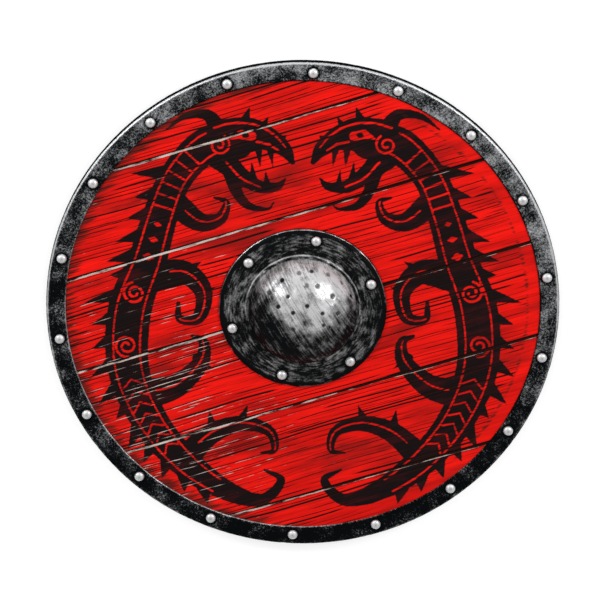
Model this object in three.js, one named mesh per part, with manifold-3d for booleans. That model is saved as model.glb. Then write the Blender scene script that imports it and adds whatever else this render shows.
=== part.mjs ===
// Round wooden shield with a riveted iron rim and a domed iron boss, lying on its back.
// Millimetres. +Z up is the way the front of the shield faces, +X runs along the planks.
// The origin is on the surface that the shield lies on, under the centre of the boss.
//
// Six edge-joined planks make the board. A U-shaped iron strip is bent round its edge and riveted
// through. The boss covers a round hand hole, and a wooden grip bar crosses that hole behind the
// board, square to the planks, with one countersunk screw into each plank.

import * as THREE from "three";
import { mergeVertices } from "three/addons/utils/BufferGeometryUtils.js";
import Module from "manifold-3d";

const wasm = await Module();
wasm.setup();

// Driving dimensions
const GAP = 0.3; // clearance between neighbouring pieces
const SHIELD_RADIUS = 305;
const PLANK_COUNT = 6;
const PLANK_PITCH = 115;
const PLANK_THICKNESS = 9.4;
const PLANK_CHAMFER = 1.6; // half of the V-groove that shows at each seam
const BOARD_EDGE_CHAMFER = 2; // round the board, clear of the bends of the iron strip
const HAND_HOLE_RADIUS = 59;

const RIM_WIDTH = 23.5;
const RIM_SHEET = 1.5;
const RIM_BEND = 3; // outer radius of the strip's two bends
const RIM_RIVET_COUNT = 18;
const RIM_RIVET_CIRCLE = 292;
const RIM_RIVET_START = 10.6; // degrees
const RIM_JOINT_ANGLE = -6.4; // where the strip's two ends meet, degrees
const RIM_JOINT_GAP = 0.6;

const BOSS_RADIUS = 100;
const BOSS_SHEET = 1.8;
const BOSS_DOME_RADIUS = 65;
const BOSS_DOME_HEIGHT = 42; // above the root fillet
const BOSS_ROOT_FILLET = 3.5;
const BOSS_LIP_WIDTH = 5; // the flange's edge is turned down to the board
const BOSS_LIP_DROP = 3;
const BOSS_FLANGE_RISE = 1.4; // the flange climbs this much towards the dome
const BOSS_FLANGE_FLAT = 80; // radius where that climb starts
const BOSS_RIVET_CIRCLE = 87;
const BOSS_RIVET_ANGLES = [4.2, 62.5, 120.7, 179, 236.4, 293.5]; // hand-spaced, one wide gap

const RIVET = { head: 6, rise: 4, shank: 2.6, tail: 4.6, tailRise: 1.8 };
const RIVET_SIDES = 8;

const GRIP_LENGTH = 552;
const GRIP_DEPTH = 12;
const GRIP_END_HALF = 12;
const GRIP_SHOULDER_HALF = 17;
const GRIP_HAND_HALF = 13;
const GRIP_SHOULDER_AT = 88; // from the centre to the widest place beside the hand
const GRIP_BEVEL = 2.4;
const GRIP_SWELL = [[8, 53], [11.6, 43], [12, 0]]; // hand part's (radius, distance from the centre)
const SCREW_PLACES = [96, 172, 252]; // one screw into each plank, either side of the centre
const SCREW = { head: 4.6, shank: 2, length: 17 };

// Levels, from the surface up
const boardBack = GRIP_DEPTH + GAP;
const boardFront = boardBack + PLANK_THICKNESS;
const rimBack = boardBack - GAP - RIM_SHEET;
const rimFront = boardFront + GAP + RIM_SHEET;
const lipTop = boardFront + GAP + BOSS_SHEET;
const flangeTop = lipTop + BOSS_LIP_DROP;
const boardRadius = SHIELD_RADIUS - RIM_SHEET - GAP;

const radians = THREE.MathUtils.degToRad;
const point = (x, y) => new THREE.Vector2(x, y);

const material = (color, roughness, metalness) =>
  new THREE.MeshStandardMaterial({ color, roughness, metalness });
const paintedWood = material(0xd81208, 0.55, 0);
const bareWood = material(0x6b4526, 0.7, 0);
const blackIron = material(0x2b2d30, 0.45, 0.85);
const brightIron = material(0xa8aaad, 0.3, 0.95);

// A three.js geometry as a manifold-3d solid
function solid(geometry) {
  const bare = new THREE.BufferGeometry().setAttribute("position", geometry.getAttribute("position"));
  if (geometry.index) bare.setIndex(geometry.index);
  const merged = mergeVertices(bare, 1e-3);
  return new wasm.Manifold(
    new wasm.Mesh({
      numProp: 3,
      vertProperties: merged.attributes.position.array,
      triVerts: new Uint32Array(merged.index.array),
    }),
  );
}

// A manifold-3d solid as a three.js geometry
function geometryOf(shape) {
  const { vertProperties, triVerts } = shape.getMesh();
  return new THREE.BufferGeometry()
    .setAttribute("position", new THREE.BufferAttribute(vertProperties, 3))
    .setIndex(new THREE.BufferAttribute(triVerts, 1));
}

// A closed profile of (radius, height) points turned about +Z
function turned(profile, sides) {
  return new THREE.LatheGeometry(profile, sides).rotateX(Math.PI / 2);
}

function arc(centreX, centreY, radiusX, radiusY, fromDegrees, toDegrees, steps) {
  return Array.from({ length: steps + 1 }, (_, i) => {
    const angle = radians(fromDegrees + ((toDegrees - fromDegrees) * i) / steps);
    return point(centreX + radiusX * Math.cos(angle), centreY + radiusY * Math.sin(angle));
  });
}

function onCircle(radius, degrees) {
  return [radius * Math.cos(radians(degrees)), radius * Math.sin(radians(degrees))];
}

// A round cutter that passes right through the board
function roundCutter(radius, x, y, sides) {
  const length = 120;
  return solid(new THREE.CylinderGeometry(radius, radius, length, sides).rotateX(Math.PI / 2)).translate(x, y, 0);
}

const rimRivetPlaces = Array.from({ length: RIM_RIVET_COUNT }, (_, i) =>
  onCircle(RIM_RIVET_CIRCLE, RIM_RIVET_START + (i * 360) / RIM_RIVET_COUNT),
);
const bossRivetPlaces = BOSS_RIVET_ANGLES.map((degrees) => onCircle(BOSS_RIVET_CIRCLE, degrees));
const screwPlaces = [...SCREW_PLACES.map((y) => -y).reverse(), ...SCREW_PLACES];

const rivetHole = ([x, y]) => roundCutter(RIVET.shank + GAP, x, y, RIVET_SIDES);
const withoutHoles = (shape, places) => places.reduce((left, place) => left.subtract(rivetHole(place)), shape);

// Countersunk screw, driven from behind: its flat head is flush with the back of the grip
function screwProfile(grow) {
  const cone = SCREW.head - SCREW.shank;
  const low = grow > 0 ? -1 : 0.1;
  return [
    point(0, low),
    point(SCREW.head + grow, low),
    point(SCREW.head + grow, 0.5),
    point(SCREW.shank + grow, 0.5 + cone),
    point(SCREW.shank + grow, SCREW.length - 2),
    point(0, SCREW.length + grow),
  ];
}
const screwSolid = (y, grow) => solid(turned(screwProfile(grow), 8)).translate(0, y, 0);

// One plank: a chamfered bar along X, cut to the round of the board
function plank(index) {
  const low = (index - PLANK_COUNT / 2) * PLANK_PITCH + GAP / 2;
  const high = low + PLANK_PITCH - GAP;
  const c = PLANK_CHAMFER;
  const section = new THREE.Shape([
    point(low, boardBack),
    point(high, boardBack),
    point(high, boardFront - c),
    point(high - c, boardFront),
    point(low + c, boardFront),
    point(low, boardFront - c),
  ]);
  const bar = new THREE.ExtrudeGeometry(section, { depth: 2 * SHIELD_RADIUS, bevelEnabled: false })
    .translate(0, 0, -SHIELD_RADIUS)
    .applyMatrix4(
      new THREE.Matrix4().makeBasis(
        new THREE.Vector3(0, 1, 0),
        new THREE.Vector3(0, 0, 1),
        new THREE.Vector3(1, 0, 0),
      ),
    );
  const spare = 1; // the disc stands this far past both faces
  const edge = BOARD_EDGE_CHAMFER;
  const disc = [
    point(0, boardBack - spare),
    point(boardRadius - edge - spare, boardBack - spare),
    point(boardRadius, boardBack + edge),
    point(boardRadius, boardFront - edge),
    point(boardRadius - edge - spare, boardFront + spare),
    point(0, boardFront + spare),
  ];
  const round = solid(turned(disc, 60));
  const crosses = (y, reach) => y + reach > low && y - reach < high;
  const places = [...rimRivetPlaces, ...bossRivetPlaces].filter(([, y]) => crosses(y, RIVET.shank + 1));
  let shape = withoutHoles(solid(bar).intersect(round), places);
  if (crosses(0, HAND_HOLE_RADIUS)) shape = shape.subtract(roundCutter(HAND_HOLE_RADIUS, 0, 0, 40));
  for (const y of screwPlaces) if (crosses(y, SCREW.head)) shape = shape.subtract(screwSolid(y, GAP));
  return geometryOf(shape);
}

// The rim: one strip bent to a U round the board's edge, its two ends meeting at a joint
function rim() {
  const outer = SHIELD_RADIUS;
  const inner = outer - RIM_WIDTH;
  const r = RIM_BEND;
  const lining = outer - RIM_SHEET;
  const fold = r - RIM_SHEET;
  const profile = [
    point(inner, rimBack),
    ...arc(outer - r, rimBack + r, r, r, -90, 0, 2),
    ...arc(outer - r, rimFront - r, r, r, 0, 90, 2),
    point(inner, rimFront),
    point(inner, rimFront - RIM_SHEET),
    point(lining - fold, rimFront - RIM_SHEET),
    point(lining, rimFront - r),
    point(lining, rimBack + r),
    point(lining - fold, rimBack + RIM_SHEET),
    point(inner, rimBack + RIM_SHEET),
    point(inner, rimBack),
  ];
  const joint = solid(new THREE.BoxGeometry(3 * RIM_WIDTH, RIM_JOINT_GAP, 60))
    .translate(outer, 0, 0)
    .rotate([0, 0, RIM_JOINT_ANGLE]);
  return geometryOf(withoutHoles(solid(turned(profile, 60)), rimRivetPlaces).subtract(joint));
}

// The boss: pressed from one sheet, with a turned-down lip, a flat flange and an elliptical dome
function boss() {
  const domeFoot = BOSS_FLANGE_RISE + BOSS_ROOT_FILLET;
  // (radius, height above the flange's face) down one side of the sheet. inset is 0 or its thickness.
  const side = (inset) => [
    ...arc(0, domeFoot, BOSS_DOME_RADIUS - inset, BOSS_DOME_HEIGHT - inset, 90, 0, 7),
    ...arc(
      BOSS_DOME_RADIUS + BOSS_ROOT_FILLET,
      domeFoot,
      BOSS_ROOT_FILLET + inset,
      BOSS_ROOT_FILLET + inset,
      200,
      270,
      2,
    ),
    point(BOSS_FLANGE_FLAT, -inset),
    point(BOSS_RADIUS - BOSS_LIP_WIDTH - inset / 3, -inset),
    point(BOSS_RADIUS - 0.8 - inset, -0.65 * BOSS_LIP_DROP - 0.9 * inset),
    point(BOSS_RADIUS - inset, lipTop - BOSS_SHEET - flangeTop),
  ];
  const profile = [...side(BOSS_SHEET), ...side(0).reverse()].map(({ x, y }) => point(Math.max(x, 0), flangeTop + y));
  profile[0].x = 0;
  profile[profile.length - 1].x = 0;
  return geometryOf(withoutHoles(solid(turned(profile, 36)), bossRivetPlaces));
}

// Dome-headed rivet from the front face at height top to its hammered tail behind height bottom
function rivet(top, bottom) {
  const head = top + GAP;
  const tail = bottom - GAP;
  const profile = [
    point(0, tail - RIVET.tailRise),
    point(RIVET.tail, tail),
    point(RIVET.shank, tail),
    point(RIVET.shank, head),
    point(RIVET.head, head),
    point(RIVET.head * 0.78, head + RIVET.rise * 0.66),
    point(0, head + RIVET.rise),
  ];
  return geometryOf(solid(turned(profile, RIVET_SIDES)));
}

// The grip bar: a flat lath with bevelled edges, tapering to its ends. It is waisted for the hand,
// and rounded up into the hand hole there.
function grip() {
  const half = GRIP_LENGTH / 2;
  const steps = 10;
  const halfWidth = (y) => {
    if (y > GRIP_SHOULDER_AT) {
      const t = (y - GRIP_SHOULDER_AT) / (half - GRIP_SHOULDER_AT);
      return GRIP_SHOULDER_HALF + (GRIP_END_HALF - GRIP_SHOULDER_HALF) * t;
    }
    const swell = (1 - Math.cos((Math.PI * y) / GRIP_SHOULDER_AT)) / 2;
    return GRIP_HAND_HALF + (GRIP_SHOULDER_HALF - GRIP_HAND_HALF) * swell;
  };
  const edge = Array.from({ length: steps + 1 }, (_, i) => {
    const y = -half + (2 * half * i) / steps;
    return point(halfWidth(Math.abs(y)) - GRIP_BEVEL, y * (1 - GRIP_BEVEL / half));
  });
  const outline = [...edge, ...edge.map(({ x, y }) => point(-x, y)).reverse()];
  const bar = new THREE.ExtrudeGeometry(new THREE.Shape(outline), {
    depth: GRIP_DEPTH - 2 * GRIP_BEVEL,
    bevelSize: GRIP_BEVEL,
    bevelThickness: GRIP_BEVEL,
    bevelSegments: 1,
  }).translate(0, 0, GRIP_BEVEL);
  const swell = [
    point(0, -GRIP_SWELL[0][1]),
    ...GRIP_SWELL.map(([radius, y]) => point(radius, -y)),
    ...GRIP_SWELL.slice(0, -1)
      .reverse()
      .map(([radius, y]) => point(radius, y)),
    point(0, GRIP_SWELL[0][1]),
  ];
  const hand = solid(new THREE.LatheGeometry(swell, 10).translate(0, 0, GRIP_DEPTH + GAP));
  return geometryOf(screwPlaces.reduce((left, y) => left.subtract(screwSolid(y, GAP)), solid(bar).add(hand)));
}

const shield = new THREE.Group();

function add(name, geometry, finish, x = 0, y = 0) {
  const mesh = new THREE.Mesh(geometry, finish);
  mesh.name = name;
  mesh.position.set(x, y, 0);
  shield.add(mesh);
}

for (let i = 0; i < PLANK_COUNT; i++) add(`plank_${i + 1}`, plank(i), paintedWood);
add("rim", rim(), blackIron);
add("boss", boss(), blackIron);
rimRivetPlaces.forEach(([x, y], i) => add(`rim_rivet_${i + 1}`, rivet(rimFront, rimBack), brightIron, x, y));
bossRivetPlaces.forEach(([x, y], i) => add(`boss_rivet_${i + 1}`, rivet(flangeTop, boardBack), brightIron, x, y));
add("grip", grip(), bareWood);
screwPlaces.forEach((y, i) => add(`grip_screw_${i + 1}`, geometryOf(screwSolid(y, 0)), brightIron));

export default shield;
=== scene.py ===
"""Looks of the round wooden shield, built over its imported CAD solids.

The row frame is in metres: the shield lies on its back with its face towards +Z, and +X runs along
the planks. Shapes are worked out in millimetres and scaled when their meshes are made.
"""

import math

import bpy
import numpy as np
from mathutils import Matrix, Vector


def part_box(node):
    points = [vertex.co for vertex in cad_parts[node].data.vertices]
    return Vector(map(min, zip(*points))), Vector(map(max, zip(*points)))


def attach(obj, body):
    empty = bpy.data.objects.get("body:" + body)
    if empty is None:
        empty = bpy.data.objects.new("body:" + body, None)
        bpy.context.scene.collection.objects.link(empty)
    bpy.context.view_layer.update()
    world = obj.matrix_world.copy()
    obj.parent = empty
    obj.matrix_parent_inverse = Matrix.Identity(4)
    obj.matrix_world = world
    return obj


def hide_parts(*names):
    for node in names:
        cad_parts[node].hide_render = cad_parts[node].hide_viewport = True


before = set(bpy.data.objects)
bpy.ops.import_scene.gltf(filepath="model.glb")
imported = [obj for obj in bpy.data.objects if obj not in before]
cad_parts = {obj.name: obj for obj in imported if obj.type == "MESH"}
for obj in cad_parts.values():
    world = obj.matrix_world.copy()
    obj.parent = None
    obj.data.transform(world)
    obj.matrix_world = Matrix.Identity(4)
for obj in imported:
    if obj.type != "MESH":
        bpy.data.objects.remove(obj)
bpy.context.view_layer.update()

MM = 0.001
PLANK_COUNT = 6
PLANK_TURN = math.radians(17)  # the planks climb this much to the right of the picture


def cad_box(node):
    """A CAD node's lowest and highest corners, in millimetres."""
    low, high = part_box(node)
    return np.array(low) / MM, np.array(high) / MM


def plan_middle(node):
    """The middle of a CAD node's box, seen from above."""
    low, high = cad_box(node)
    return (low + high)[:2] / 2


BOARD_RADIUS = cad_box("plank_6")[1][1]
SHIELD_RADIUS = cad_box("rim")[1][0]
BOSS_RADIUS = cad_box("boss")[1][0]
BOARD_BACK, BOARD_FRONT = (corner[2] for corner in cad_box("plank_3"))
RIM_BACK, RIM_FRONT = (corner[2] for corner in cad_box("rim"))
BOSS_LOW, BOSS_TOP = (corner[2] for corner in cad_box("boss"))


# ---- meshes


def mesh_object(name, points, faces, materials, attributes=None, face_material=None):
    """A mesh object from points in millimetres, with its attributes as one number a point."""
    mesh = bpy.data.meshes.new(name)
    mesh.from_pydata((np.reshape(points, (-1, 3)) * MM).tolist(), [], faces)
    for key, values in (attributes or {}).items():
        layer = mesh.attributes.new(key, "FLOAT", "POINT")
        layer.data.foreach_set("value", np.ascontiguousarray(values, np.float32).ravel())
    for material in materials:
        mesh.materials.append(material)
    if face_material is not None:
        mesh.polygons.foreach_set("material_index", np.asarray(face_material, np.int32))
    mesh.polygons.foreach_set("use_smooth", [True] * len(mesh.polygons))
    mesh.validate()
    thing = bpy.data.objects.new(name, mesh)
    bpy.context.scene.collection.objects.link(thing)
    return thing


def grid_faces(rows, columns, wrap_columns=False, wrap_rows=False, start=0):
    """Quads of a grid of points stored row after row."""
    grid = start + np.arange(rows * columns).reshape(rows, columns)
    grid = np.vstack([grid, grid[:1]]) if wrap_rows else grid
    grid = np.hstack([grid, grid[:, :1]]) if wrap_columns else grid
    corners = [grid[:-1, :-1], grid[:-1, 1:], grid[1:, 1:], grid[1:, :-1]]
    return np.stack(corners, axis=-1).reshape(-1, 4).tolist()


def tube_faces(rows, columns):
    """Faces of a tube made of rows of points, with both its ends closed."""
    last = (rows - 1) * columns
    caps = [list(range(columns))[::-1], list(range(last, last + columns))]
    return grid_faces(rows, columns, wrap_columns=True) + caps


def dress(piece, slot, *nodes, sharp, flip=False):
    """The piece stands for these CAD nodes. Edges that turn more than sharp degrees stay crisp."""
    if flip:
        piece.data.flip_normals()
    piece.data.set_sharp_from_angle(angle=math.radians(sharp))
    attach(piece, "root")
    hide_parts(*nodes)


def waves(points, rng, wavelength, count=24):
    """A smooth random field over points, about -1 to 1, from plane waves in random directions."""
    total = np.zeros(points.shape[:-1])
    for _ in range(count):
        way = rng.normal(size=points.shape[-1])
        way *= 2 * np.pi / (np.linalg.norm(way) * wavelength * rng.uniform(0.7, 1.5))
        total += np.cos(points @ way + rng.uniform(0, 2 * np.pi))
    return total / math.sqrt(count)


def smooth_step(low, high, value):
    """0 at low and 1 at high, eased between and held beyond. low may be the larger."""
    t = np.clip((value - low) / (high - low), 0, 1)
    return t * t * (3 - 2 * t)


def bell(value, width):
    """1 at 0, falling off over this width either way."""
    return np.exp(-((value / width) ** 2))


# ---- node materials


class Nodes:
    """A material's nodes, with one short method for each kind. A value is a number, colour or socket."""

    def __init__(self, name):
        self.material = bpy.data.materials.new(name)
        self.material.use_nodes = True
        self.tree = self.material.node_tree
        self.shader = self.tree.nodes["Principled BSDF"]
        self.place = self.node("TexCoord", "Object")

    def put(self, socket, value):
        if isinstance(value, bpy.types.NodeSocket):
            self.tree.links.new(value, socket)
        else:
            socket.default_value = value

    def node(self, kind, output=0, inputs=None, **settings):
        made = self.tree.nodes.new("ShaderNode" + kind)
        for key, value in settings.items():
            setattr(made, key, value)
        for key, value in (inputs or {}).items():
            self.put(made.inputs[key], value)
        return made.outputs[output]

    def math(self, operation, a, b):
        return self.node("Math", 0, {0: a, 1: b}, operation=operation)

    def mix(self, factor, a, b):
        rgba = [(*c, 1) if isinstance(c, tuple) and len(c) == 3 else c for c in (a, b)]
        return self.node("Mix", 2, {0: factor, 6: rgba[0], 7: rgba[1]}, data_type="RGBA")

    def between(self, value, low, high, to_low=0.0, to_high=1.0):
        """value from low..high to to_low..to_high, held at both ends."""
        return self.node("MapRange", 0, {0: value, 1: low, 2: high, 3: to_low, 4: to_high}, clamp=True)

    def stir(self, value, noise, amount, low=0.3, high=0.7):
        """value plus noise, whose low..high is drawn out to amount either way."""
        return self.math("ADD", value, self.between(noise, low, high, -amount, amount))

    def noise(self, size, detail=3.0, stretch=(1, 1, 1), roughness=0.55, shift=(0, 0, 0), turn=0):
        """Noise whose lumps are about size millimetres, drawn out by stretch along each axis.

        turn swings those axes about Z, in degrees."""
        place = self.place
        if turn:
            inputs = {"Vector": place, "Angle": math.radians(-turn)}
            place = self.node("VectorRotate", 0, inputs, rotation_type="Z_AXIS")
        scale = [1 / (size * MM * s) for s in stretch]
        place = self.node("VectorMath", 0, {0: place, 1: scale}, operation="MULTIPLY")
        place = self.node("VectorMath", 0, {0: place, 1: shift}, operation="ADD")
        inputs = {"Vector": place, "Scale": 1.0, "Detail": detail, "Roughness": roughness}
        return self.node("TexNoise", 0, inputs)

    def swept_noise(self, size, stretch, radius, detail=4.0):
        """Noise drawn out round the Z axis, by stretch at this radius."""
        flat = self.node("VectorMath", 0, {0: self.place, 1: (1, 1, 0)}, operation="MULTIPLY")
        reach = self.node("VectorMath", 1, {0: flat}, operation="LENGTH")
        way = self.node("VectorMath", 0, {0: flat}, operation="NORMALIZE")
        way = self.node("VectorMath", 0, {0: way, "Scale": radius / (size * stretch)}, operation="SCALE")
        out = self.node("CombineXYZ", 0, {"Z": self.math("MULTIPLY", reach, 1 / (size * MM))})
        place = self.node("VectorMath", 0, {0: way, 1: out}, operation="ADD")
        return self.node("TexNoise", 0, {"Vector": place, "Scale": 1.0, "Detail": detail})

    def attribute(self, name):
        return self.node("Attribute", 2, attribute_name=name)

    def bump(self, height, depth):
        """Bump of this many millimetres."""
        return self.node("Bump", 0, {"Height": height, "Distance": depth * MM, "Strength": 1.0})

    def finish(self, colour, roughness, normal=None, metallic=0.0, specular=0.5):
        """The material, with its shader's inputs set."""
        self.put(self.shader.inputs["Base Color"], colour)
        self.put(self.shader.inputs["Roughness"], roughness)
        self.put(self.shader.inputs["Metallic"], metallic)
        self.shader.inputs["Specular IOR Level"].default_value = specular
        if normal:
            self.put(self.shader.inputs["Normal"], normal)
        return self.material


# Linear colours
RED_DULL, RED_BRIGHT = (0.60, 0.005, 0.003), (0.88, 0.008, 0.004)
RED_STREAK, RED_STAIN = (0.20, 0.004, 0.003), (0.19, 0.006, 0.005)
BLACK_THICK, BLACK_THIN = (0.007, 0.0035, 0.004), (0.045, 0.004, 0.005)
# the second colour darkens the grain lines and paints shade and shadow at the seams
GRIME, CRACK_AND_SHADE = (0.03, 0.010, 0.007), (0.013, 0.003, 0.002)
BARE_GREY, BARE_PALE = (0.22, 0.15, 0.11), (0.78, 0.72, 0.66)
BOARD_WOOD = (0.36, 0.22, 0.11), (0.13, 0.07, 0.035)  # its light and dark rings
GRIP_WOOD = (0.30, 0.17, 0.08), (0.10, 0.05, 0.025)
RIM_BLACK, RIM_SILVER = (0.0030, 0.0038, 0.0042), (0.56, 0.57, 0.58)
BOSS_BLACK, BOSS_SILVER = (0.0030, 0.0034, 0.0038), (0.60, 0.60, 0.61)
RIVET_DULL, RIVET_BRIGHT = (0.55, 0.55, 0.56), (0.88, 0.88, 0.89)
RIVET_CENTRE, RIVET_DIRT = (0.25, 0.25, 0.25), (0.03, 0.03, 0.03)
SCREW_DARK, SCREW_LIGHT = (0.16, 0.15, 0.14), (0.45, 0.44, 0.42)


def painted_wood():
    """Red paint brushed over the planks, black painted ornament, wear down to the wood, and painted
    light and shade along the seams.
    """
    n = Nodes("painted_wood")
    fine = n.noise(1.5, 4, (34, 1, 1))
    broad = n.noise(9, 4, (12, 1, 1), shift=(3, 0, 0))
    blotch = n.noise(34, 4, (4, 1, 1), shift=(0, 7, 0))
    red = n.mix(n.between(broad, 0.36, 0.6), RED_DULL, RED_BRIGHT)
    red = n.mix(n.between(fine, 0.56, 0.67, 0, 0.55), red, RED_STREAK)
    red = n.mix(n.between(blotch, 0.53, 0.68, 0, 0.75), red, RED_STAIN)

    ragged = n.stir(n.attribute("paint"), n.noise(3, 4, (5, 1, 1)), 0.5)
    black_share = n.between(ragged, -0.45, 0.45, 1, 0)
    thin = n.between(n.noise(13, 5, (5, 1, 1), shift=(9, 0, 0)), 0.5, 0.72)
    black = n.mix(thin, BLACK_THICK, BLACK_THIN)
    colour = n.mix(black_share, red, black)

    streaks = n.noise(3.2, 5, (16, 1, 1), shift=(0, 2, 0))
    grime = n.stir(n.attribute("edge"), streaks, 0.5)
    colour = n.mix(n.between(grime, 0.6, 1.05, 0, 0.85), colour, GRIME)

    # dark grain lines, painted shade on a seam's low wall and a painted shadow below its pale wall
    colour = n.mix(n.between(n.attribute("gouge_and_shade"), 0.1, 0.7), colour, CRACK_AND_SHADE)
    bare = n.mix(n.noise(2.5, 4, (5, 1, 1)), BARE_GREY, BARE_PALE)
    flecks = n.noise(3.5, 5, (6, 1, 1), shift=(4, 0, 0))
    rub_and_highlight = n.stir(n.attribute("rub_and_highlight"), flecks, 0.42)
    # bare wood on worn lips, and bare wood with a painted highlight on a seam's high wall
    colour = n.mix(n.between(rub_and_highlight, 0.55, 0.85), colour, bare)

    roughness = n.between(n.noise(6, 3, (5, 1, 1)), 0.3, 0.7, 0.45, 0.65)
    height = n.math("ADD", fine, n.math("MULTIPLY", black_share, 0.25))
    return n.finish(colour, roughness, n.bump(height, 0.2), specular=0.06)


def bare_wood(name, light, dark, stretch=(16, 1, 1)):
    """Plain oiled wood, its grain drawn out along one axis."""
    n = Nodes(name)
    rings = n.noise(7, 5, stretch)
    pores = n.noise(1.2, 3, tuple(2 * s if s > 1 else s for s in stretch))
    stain = n.noise(60, 3, shift=(4, 2, 0))
    colour = n.mix(n.between(rings, 0.3, 0.7), dark, light)
    colour = n.mix(n.between(pores, 0.56, 0.7, 0, 0.75), colour, tuple(c * 0.4 for c in dark))
    colour = n.mix(n.between(stain, 0.5, 0.75, 0, 0.5), colour, tuple(c * 0.6 for c in dark))
    seam = n.between(n.attribute("gouge_and_shade"), 0.1, 0.8, 0, 0.85)
    colour = n.mix(seam, colour, tuple(c * 0.12 for c in dark))
    roughness = n.between(rings, 0.3, 0.7, 0.75, 0.55)
    height = n.math("ADD", rings, n.math("MULTIPLY", pores, 0.6))
    return n.finish(colour, roughness, n.bump(height, 0.35), specular=0.3)


def rim_iron():
    """Iron painted black, dry-brushed with silver and rubbed bright along its bends, with painted
    highlights and shade laid into its wear.
    """
    n = Nodes("rim_iron")
    patch = n.noise(24, 4, shift=(2, 5, 1))
    speck = n.noise(2.4, 5, roughness=0.75)
    grit = n.noise(1.0, 3, shift=(5, 0, 0), roughness=0.7)
    silver = n.math("ADD", n.between(patch, 0.35, 0.66, -0.17, 0.08), speck)
    silver = n.stir(silver, grit, 0.12, 0.35, 0.65)
    # wear carries real rubbing together with painted highlights and shade
    silver = n.math("ADD", silver, n.attribute("wear"))
    share = n.math("POWER", n.between(silver, 0.42, 0.82), 1.5)
    colour = n.mix(share, RIM_BLACK, RIM_SILVER)
    roughness = n.between(speck, 0.3, 0.7, 0.5, 0.32)
    height = n.math("ADD", speck, n.math("MULTIPLY", patch, 0.8))
    metallic = n.math("MULTIPLY", share, 0.9)
    return n.finish(colour, roughness, n.bump(height, 0.35), metallic=metallic, specular=0.0)


def boss_iron():
    """Steel under a black wash, brushed bright in slanting strokes on the dome and round the flange."""
    n = Nodes("boss_iron")
    cloud = n.noise(15, 4, shift=(1, 1, 8))
    speck = n.noise(1.9, 5, roughness=0.7)
    slanting = n.noise(2.4, 6, (1, 16, 8), turn=13, roughness=0.62)
    round_about = n.swept_noise(2.2, 5, 86, 5)
    strokes = n.between(n.attribute("dome"), 0, 1, round_about, slanting)
    crossing = n.noise(1.2, 3, (1, 12, 6), turn=-42, shift=(3, 0, 0))
    scratch = n.noise(1.0, 2, (1, 24, 9), turn=20, shift=(7, 0, 0))
    # bright carries wear and painted light
    worn_and_lit = n.stir(n.attribute("bright"), cloud, 0.34, 0.32, 0.68)
    worn_and_lit = n.stir(worn_and_lit, strokes, 0.32, 0.34, 0.66)
    worn_and_lit = n.stir(worn_and_lit, speck, 0.22)
    share = n.math("POWER", n.between(worn_and_lit, -0.12, 1.05), 1.7)
    lines = n.between(crossing, 0.62, 0.7, 0, 0.6)
    lines = n.math("MULTIPLY", lines, n.between(n.attribute("bright"), 0, 0.6))
    share = n.math("MAXIMUM", share, lines)
    share = n.math("MULTIPLY", share, n.between(scratch, 0.62, 0.68, 1, 0.3))
    share = n.math("MULTIPLY", share, n.math("SUBTRACT", 1.0, n.attribute("pit")))
    colour = n.mix(share, BOSS_BLACK, BOSS_SILVER)
    roughness = n.between(strokes, 0.3, 0.7, 0.46, 0.3)
    polish = n.between(n.attribute("steep"), 0, 1, 0.72, 0.25)
    metallic = n.math("MULTIPLY", n.between(share, 0.0, 0.3), polish)
    return n.finish(colour, roughness, n.bump(strokes, 0.12), metallic=metallic, specular=0.03)


def rivet_steel():
    """Bright satin steel with dark dirt round its foot."""
    n = Nodes("rivet_steel")
    speck = n.noise(1.1, 4, roughness=0.7)
    dirt = n.stir(n.attribute("foot"), speck, 0.3)
    colour = n.mix(n.between(speck, 0.3, 0.65), RIVET_DULL, RIVET_BRIGHT)
    colour = n.mix(n.math("MULTIPLY", n.attribute("centre"), 0.7), colour, RIVET_CENTRE)
    colour = n.mix(n.between(dirt, 0.5, 0.95), colour, RIVET_DIRT)
    return n.finish(colour, n.between(speck, 0.3, 0.7, 0.5, 0.36), n.bump(speck, 0.12), metallic=0.75)


def screw_steel():
    """Dull steel, unpainted."""
    n = Nodes("screw_steel")
    speck = n.noise(1.0, 4, roughness=0.7)
    colour = n.mix(speck, SCREW_DARK, SCREW_LIGHT)
    return n.finish(colour, n.between(speck, 0.3, 0.7, 0.5, 0.32), n.bump(speck, 0.1), metallic=0.95)


# ---- painted ornament

FAR = 8.0  # distances to paint and seams are not followed past this many millimetres


def stroke_distance(u, v, stroke):
    """Distance from points to a brush stroke: a polyline of (u, v, half width), negative inside it."""
    stroke = np.asarray(stroke, float)
    found = np.full(u.shape, FAR)
    reach = stroke[:, 2].max() + FAR
    near = (u > stroke[:, 0].min() - reach) & (u < stroke[:, 0].max() + reach)
    near &= (v > stroke[:, 1].min() - reach) & (v < stroke[:, 1].max() + reach)
    pu, pv = u[near], v[near]
    best = np.full(pu.shape, FAR)
    for (au, av, ar), (bu, bv, br) in zip(stroke[:-1], stroke[1:]):
        du, dv = bu - au, bv - av
        t = np.clip(((pu - au) * du + (pv - av) * dv) / max(du * du + dv * dv, 1e-9), 0, 1)
        best = np.minimum(best, np.hypot(pu - au - t * du, pv - av - t * dv) - (ar + (br - ar) * t))
    found[near] = best
    return found


def smooth_line(points, steps=8):
    """A smooth stroke through a few points (Catmull-Rom)."""
    p = np.asarray(points, float)
    p = np.vstack([2 * p[0] - p[1], p, 2 * p[-1] - p[-2]])
    t = np.linspace(0, 1, steps, endpoint=False)[:, None]
    parts = []
    for a, b, c, d in zip(p[:-3], p[1:-2], p[2:-1], p[3:]):
        square = (2 * a - 5 * b + 4 * c - d) * t**2
        cube = (3 * b - a - 3 * c + d) * t**3
        parts.append(0.5 * (2 * b + (c - a) * t + square + cube))
    return np.vstack(parts + [p[-2:-1]])


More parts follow.
